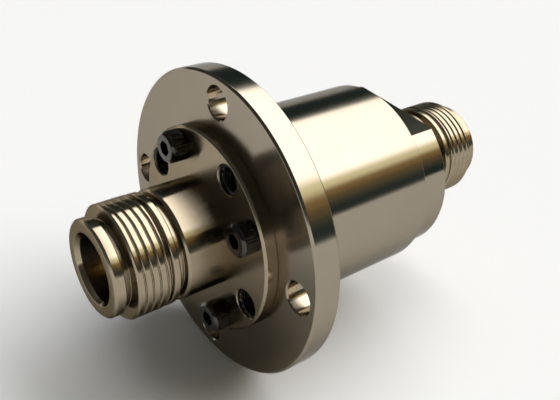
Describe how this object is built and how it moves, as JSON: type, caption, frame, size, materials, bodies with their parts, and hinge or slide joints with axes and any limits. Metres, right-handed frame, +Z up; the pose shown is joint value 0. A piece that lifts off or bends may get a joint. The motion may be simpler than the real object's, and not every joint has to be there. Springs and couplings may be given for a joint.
{
  "type": "coaxial rotary joint",
  "caption": "Coaxial rotary joint: a flanged barrel with a bolted front jack, and a collar with wrench flats and a rear jack, which turns in the barrel on ball bearings.",
  "frame": {"origin": "centre of the mounting flange's rear face, on the turning axis", "axes": "Y along the turning axis, front jack towards -Y, barrel, collar and rear jack towards +Y; +Z up through a flange hole"},
  "size_m": [0.045, 0.0683, 0.045],
  "materials": {
    "plated_body": "turned and plated, warm satin",
    "plated_rotor": "turned and plated, warm satin",
    "plated_jack": "turned and plated, warm polish",
    "black_screws": "black oxide",
    "seal_rubber": "smooth",
    "seal_felt": "pressed felt",
    "white_insulator": "waxy white fluoropolymer",
    "gold_contact": "gold plated",
    "spring_steel": "blued",
    "bearing_steel": "ground and polished",
    "inner_steel": "turned",
    "cage_brass": "machined"
  },
  "bodies": {
    "stator": {"housing": "plated_body", "front_connector_shell": "plated_jack", "connector_screws": "black_screws", "front_o_ring": "seal_rubber", "front_bead": "white_insulator", "front_inner_conductor": "gold_contact", "outer_contact_sleeve": "gold_contact", "wave_spring": "spring_steel", "front_bearing_outer_ring": "bearing_steel", "rear_bearing_outer_ring": "bearing_steel", "bearing_retainer": "inner_steel", "shaft_seal": "seal_felt"},
    "rotor": {"rotor_hub": "plated_rotor", "rear_connector_shell": "plated_jack", "rear_inner_conductor": "gold_contact", "rear_bead": "white_insulator", "shaft_bead": "white_insulator", "front_bearing_inner_ring": "bearing_steel", "rear_bearing_inner_ring": "bearing_steel", "inner_spacer": "inner_steel", "shaft_nut": "inner_steel"},
    "front_ball_set": {"front_bearing_balls": "bearing_steel", "front_bearing_cage": "cage_brass"},
    "rear_ball_set": {"rear_bearing_balls": "bearing_steel", "rear_bearing_cage": "cage_brass"}
  },
  "joints": [
    {"name": "rotor_spin", "type": "hinge", "parent": "stator", "child": "rotor", "pos_m": [0, 0, 0], "axis": [0, 1, 0], "continuous": true},
    {"name": "front_ball_set_spin", "type": "hinge", "parent": "stator", "child": "front_ball_set", "pos_m": [0, 0, 0], "axis": [0, 1, 0], "continuous": true},
    {"name": "rear_ball_set_spin", "type": "hinge", "parent": "stator", "child": "rear_ball_set", "pos_m": [0, 0, 0], "axis": [0, 1, 0], "continuous": true}
  ],
  "couplings": [
    {"joint": "front_ball_set_spin", "follows": "rotor_spin", "ratio": 0.4278},
    {"joint": "rear_ball_set_spin", "follows": "rotor_spin", "ratio": 0.4278}
  ]
}
